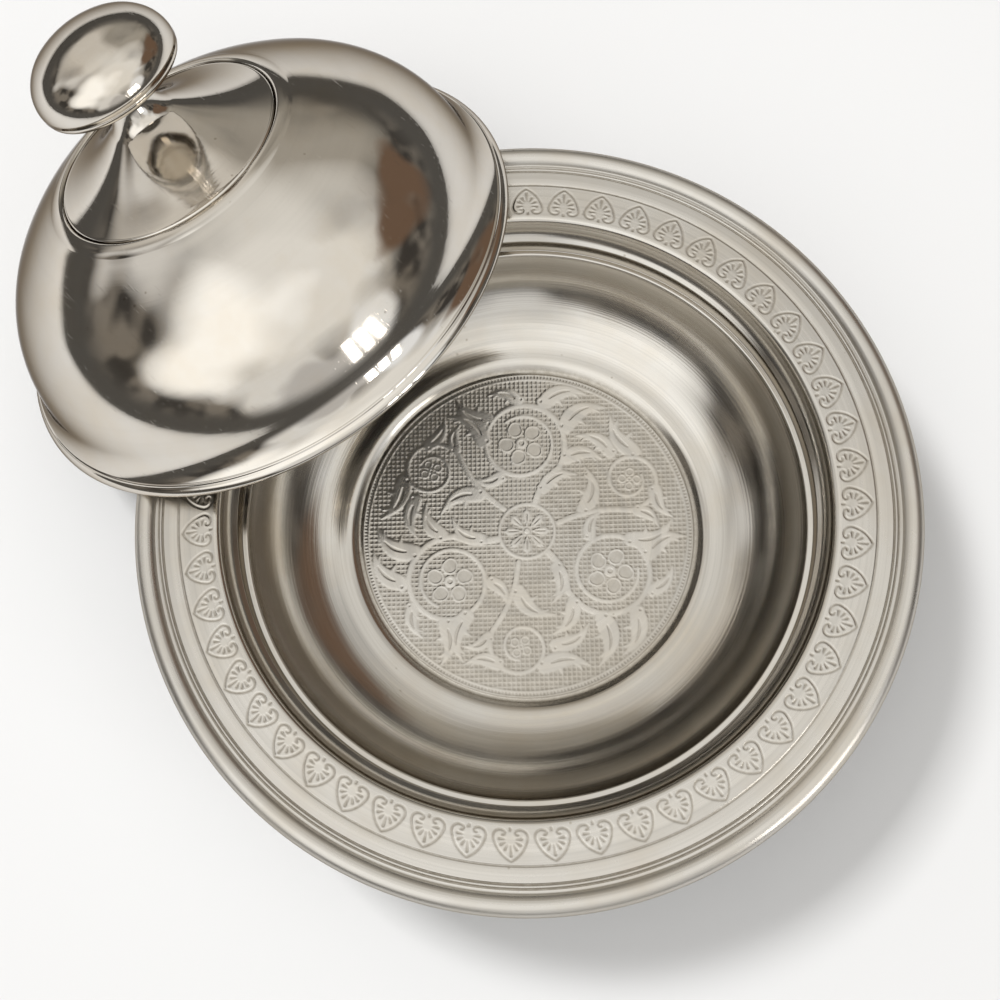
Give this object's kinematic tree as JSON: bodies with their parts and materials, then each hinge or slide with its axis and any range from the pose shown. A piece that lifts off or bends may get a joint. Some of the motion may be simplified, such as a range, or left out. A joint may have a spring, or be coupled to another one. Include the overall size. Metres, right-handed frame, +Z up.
{
  "type": "turkish delight box",
  "caption": "Round covered sweet bowl in plated sheet metal: wide ornamented flat rim, engraved floor, and a domed lid with a mushroom knob leaning against it.",
  "frame": {"origin": "on the table at the bowl's axis, in the plane of the foot ring's base", "axes": "+Z up along the bowl's axis; the lid leans on the rim on the -X side, so +X points from the lid to the bowl; +Y across"},
  "size_m": [0.2159, 0.1604, 0.0875],
  "materials": {
    "bright_plate": "polished",
    "satin_plate": "gloss",
    "plain_steel": "satin"
  },
  "bodies": {
    "bowl": {"bowl_shell": "satin_plate", "foot_ring": "satin_plate"},
    "lid": {"lid_shell": "bright_plate", "finial_skirt": "bright_plate", "knob_cup": "bright_plate", "knob_cap": "bright_plate", "knob_stud": "plain_steel", "stud_washer": "plain_steel", "stud_nut": "plain_steel"}
  },
  "joints": [
    {"name": "lid_lift", "type": "slide", "parent": "bowl", "child": "lid", "axis": [0, 0, 1], "range_m": [0, 0.13]}
  ]
}
